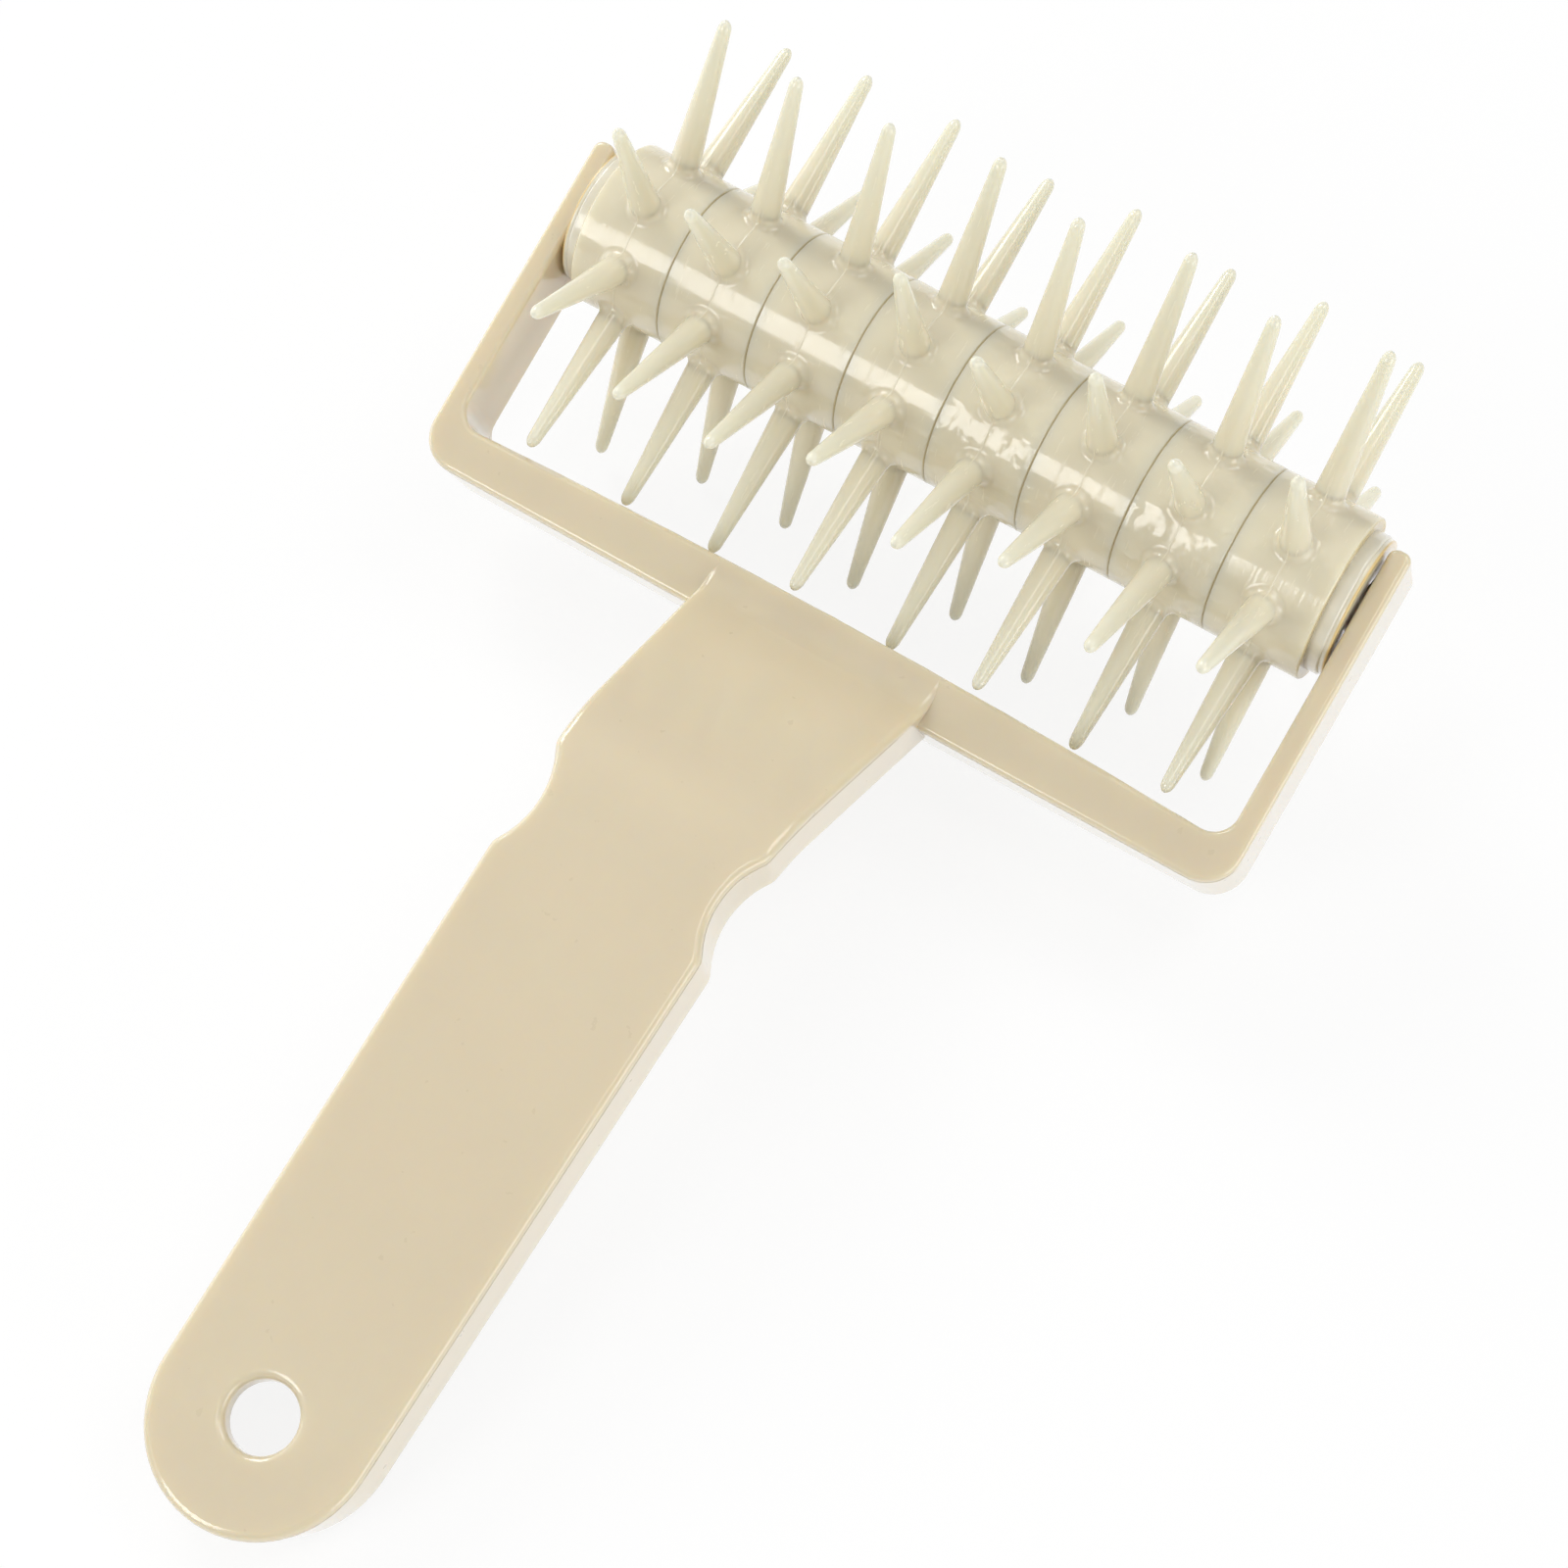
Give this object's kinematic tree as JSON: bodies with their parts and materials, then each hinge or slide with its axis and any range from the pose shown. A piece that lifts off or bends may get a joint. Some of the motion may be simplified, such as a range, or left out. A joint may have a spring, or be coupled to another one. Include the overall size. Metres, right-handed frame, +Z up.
{
  "type": "dough docker",
  "caption": "Cream plastic dough docker: a roller of keyed spiked rings in a bow-shaped frame, moulded in one with a raised, waisted handle that has a hang hole.",
  "frame": {"origin": "centre of the hang hole in the handle's end, halfway along its plain wall", "axes": "+Z up off the table that the tool lies on, +Y along the tool from the hang hole to the roller, +X along the roller's axle to the right"},
  "size_m": [0.128, 0.2104, 0.0662],
  "materials": {
    "cream_plastic": "gloss",
    "cream_roller_plastic": "gloss"
  },
  "bodies": {
    "frame": {"handle_frame": "cream_plastic"},
    "roller": {"roller_core": "cream_roller_plastic", "spiked_ring_1": "cream_roller_plastic", "spiked_ring_2": "cream_roller_plastic", "spiked_ring_3": "cream_roller_plastic", "spiked_ring_4": "cream_roller_plastic", "spiked_ring_5": "cream_roller_plastic", "spiked_ring_6": "cream_roller_plastic", "spiked_ring_7": "cream_roller_plastic", "spiked_ring_8": "cream_roller_plastic", "left_end_cap": "cream_roller_plastic", "right_end_cap": "cream_roller_plastic"}
  },
  "joints": [
    {"name": "roller_spin", "type": "hinge", "parent": "frame", "child": "roller", "pos_m": [0, 0.16269, 0.02261], "axis": [1, 0, 0], "continuous": true}
  ]
}
